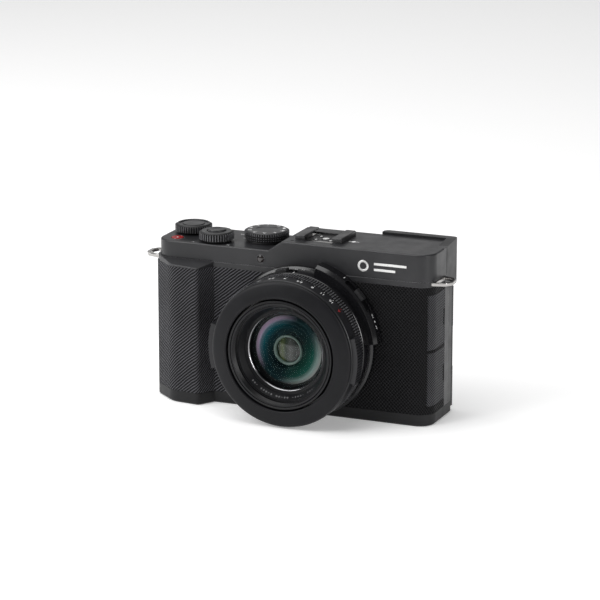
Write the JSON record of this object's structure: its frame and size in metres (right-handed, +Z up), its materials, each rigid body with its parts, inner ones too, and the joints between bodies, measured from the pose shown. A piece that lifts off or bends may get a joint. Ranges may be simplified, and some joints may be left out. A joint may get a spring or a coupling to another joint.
{
  "type": "rangefinder camera",
  "caption": "Compact camera with a retracting zoom lens in turning rings, top dials, an accessory shoe, a corner eye-level finder and a screen that swings out to the side.",
  "frame": {"origin": "mouth of the tripod socket in the base, straight below the lens axis", "axes": "+X to the right seen from the front, -Y out of the lens, +Z up through the top cover"},
  "size_m": [0.1414, 0.0659, 0.077],
  "materials": {
    "shell_paint": "satin black paint",
    "black_leather": "diagonal-grained black leatherette",
    "black_plastic": "fine matt black",
    "black_rubber": "matt black",
    "lens_metal": "satin black anodised",
    "knob_metal": "knurled, black anodised",
    "bright_steel": "polished",
    "red_button": "red",
    "lens_glass": "coated optical glass",
    "window_glass": "dark cover glass",
    "board": "circuit board",
    "cell": "wrapped cell",
    "frame_metal": "cast, bare",
    "screw_steel": "black oxide",
    "thread_brass": "turned"
  },
  "bodies": {
    "housing": {"base_plate": "shell_paint", "base_screws": "screw_steel", "front_shell": "shell_paint", "grip_leather": "black_leather", "side_leather": "black_leather", "rear_shell": "black_plastic", "thumb_rest": "black_rubber", "top_cover": "shell_paint", "af_lamp": "lens_glass", "strap_eyelets": "bright_steel", "shoe_frame": "bright_steel", "shoe_spring": "bright_steel", "finder_housing": "black_plastic", "eyecup": "black_rubber", "eyepiece": "window_glass", "finder_display": "window_glass", "tripod_socket": "thread_brass", "chassis": "frame_metal", "sensor_unit": "board", "main_board": "board", "port_block": "black_plastic", "battery": "cell", "battery_box": "black_plastic", "card_slot": "bright_steel", "lens_base": "lens_metal", "lens_shoulder": "black_plastic", "front_bezel": "lens_metal", "rear_cell": "black_plastic", "rear_lens": "lens_glass"},
    "zoom_outer": {"outer_barrel": "lens_metal"},
    "zoom_inner": {"inner_barrel": "lens_metal", "name_ring": "lens_metal", "front_lens": "lens_glass", "iris_unit": "black_plastic", "middle_lens": "lens_glass"},
    "screen": {"screen_arm": "black_plastic", "screen_shell": "black_plastic", "screen_glass": "window_glass"},
    "aperture_ring": {"aperture_ring": "lens_metal"},
    "control_ring": {"control_ring": "knob_metal"},
    "aspect_switch": {"aspect_switch": "black_plastic"},
    "focus_switch": {"focus_switch": "black_plastic"},
    "shutter_button": {"shutter_button": "knob_metal"},
    "zoom_lever": {"zoom_lever": "knob_metal"},
    "top_dial": {"top_dial": "knob_metal"},
    "mode_dial": {"mode_dial": "knob_metal"},
    "power_lever": {"power_lever": "black_plastic"},
    "record_button": {"record_button": "red_button"},
    "control_wheel": {"control_wheel": "black_plastic"},
    "set_button": {"set_button": "black_plastic"},
    "menu_button": {"menu_button": "black_plastic"},
    "play_button": {"play_button": "black_plastic"},
    "delete_button": {"delete_button": "black_plastic"},
    "view_button": {"view_button": "black_plastic"},
    "port_door_upper": {"port_door_upper": "black_leather"},
    "port_door_lower": {"port_door_lower": "black_leather"},
    "battery_door": {"battery_door": "black_plastic"},
    "battery_latch": {"battery_latch": "black_plastic"},
    "diopter_dial": {"diopter_dial": "black_plastic"}
  },
  "joints": [
    {"name": "shutter_press", "type": "slide", "parent": "housing", "child": "shutter_button", "axis": [0, 0, -1], "range_m": [0, 0.0008], "stiffness_N_per_m": 250},
    {"name": "zoom_lever_turn", "type": "hinge", "parent": "housing", "child": "zoom_lever", "pos_m": [-0.0436, -0.0072, 0.073], "axis": [0, 0, 1], "range_deg": [-20, 20], "stiffness_Nm_per_rad": 0.01},
    {"name": "top_dial_turn", "type": "hinge", "parent": "housing", "child": "top_dial", "pos_m": [-0.0594, 0.0036, 0.072], "axis": [0, 0, 1], "continuous": true},
    {"name": "mode_dial_turn", "type": "hinge", "parent": "housing", "child": "mode_dial", "pos_m": [-0.0237, 0.0014, 0.073], "axis": [0, 0, 1], "continuous": true},
    {"name": "power_turn", "type": "hinge", "parent": "housing", "child": "power_lever", "pos_m": [-0.0237, 0.0014, 0.071], "axis": [0, 0, 1], "range_deg": [0, 30]},
    {"name": "record_press", "type": "slide", "parent": "housing", "child": "record_button", "axis": [0, 0, -1], "range_m": [0, 0.0004], "stiffness_N_per_m": 300},
    {"name": "aperture_turn", "type": "hinge", "parent": "housing", "child": "aperture_ring", "pos_m": [0, -0.035, 0.0323], "axis": [0, 1, 0], "range_deg": [-50, 50]},
    {"name": "control_turn", "type": "hinge", "parent": "housing", "child": "control_ring", "pos_m": [0, -0.028, 0.0323], "axis": [0, 1, 0], "continuous": true},
    {"name": "aspect_slide", "type": "hinge", "parent": "housing", "child": "aspect_switch", "pos_m": [0, -0.021, 0.0323], "axis": [0, 1, 0], "range_deg": [-8, 8]},
    {"name": "focus_slide", "type": "hinge", "parent": "housing", "child": "focus_switch", "pos_m": [0, -0.019, 0.0323], "axis": [0, 1, 0], "range_deg": [-8, 8]},
    {"name": "zoom_outer_slide", "type": "slide", "parent": "housing", "child": "zoom_outer", "axis": [0, -1, 0], "range_m": [0, 0.012]},
    {"name": "zoom_inner_slide", "type": "slide", "parent": "zoom_outer", "child": "zoom_inner", "axis": [0, -1, 0], "range_m": [0, 0.012]},
    {"name": "screen_swing", "type": "hinge", "parent": "housing", "child": "screen", "pos_m": [0.0553, 0.0132, 0.0288], "axis": [0, 0, -1], "range_deg": [0, 180]},
    {"name": "wheel_turn", "type": "hinge", "parent": "housing", "child": "control_wheel", "pos_m": [-0.041, 0.015, 0.023], "axis": [0, 1, 0], "continuous": true},
    {"name": "set_press", "type": "slide", "parent": "housing", "child": "set_button", "axis": [0, -1, 0], "range_m": [0, 0.0005], "stiffness_N_per_m": 250},
    {"name": "menu_press", "type": "slide", "parent": "housing", "child": "menu_button", "axis": [0, -1, 0], "range_m": [0, 0.0005], "stiffness_N_per_m": 250},
    {"name": "play_press", "type": "slide", "parent": "housing", "child": "play_button", "axis": [0, -1, 0], "range_m": [0, 0.0005], "stiffness_N_per_m": 250},
    {"name": "delete_press", "type": "slide", "parent": "housing", "child": "delete_button", "axis": [0, -1, 0], "range_m": [0, 0.0005], "stiffness_N_per_m": 250},
    {"name": "view_press", "type": "slide", "parent": "housing", "child": "view_button", "axis": [0, -1, 0], "range_m": [0, 0.0005], "stiffness_N_per_m": 250},
    {"name": "upper_door_swing", "type": "hinge", "parent": "housing", "child": "port_door_upper", "pos_m": [0.0556, -0.01143, 0.045], "axis": [0, 0, -1], "range_deg": [0, 90]},
    {"name": "lower_door_swing", "type": "hinge", "parent": "housing", "child": "port_door_lower", "pos_m": [0.0556, -0.01143, 0.02], "axis": [0, 0, -1], "range_deg": [0, 90]},
    {"name": "battery_door_swing", "type": "hinge", "parent": "housing", "child": "battery_door", "pos_m": [-0.06535, -0.0045, 0.00075], "axis": [0, 1, 0], "range_deg": [0, 90]},
    {"name": "latch_slide", "type": "slide", "parent": "housing", "child": "battery_latch", "axis": [1, 0, 0], "range_m": [0, 0.0018]},
    {"name": "diopter_turn", "type": "hinge", "parent": "housing", "child": "diopter_dial", "pos_m": [0.027, 0.019, 0.0664], "axis": [0, 1, 0], "range_deg": [-120, 120]}
  ],
  "couplings": [
    {"joint": "zoom_inner_slide", "follows": "zoom_outer_slide", "ratio": 1}
  ]
}
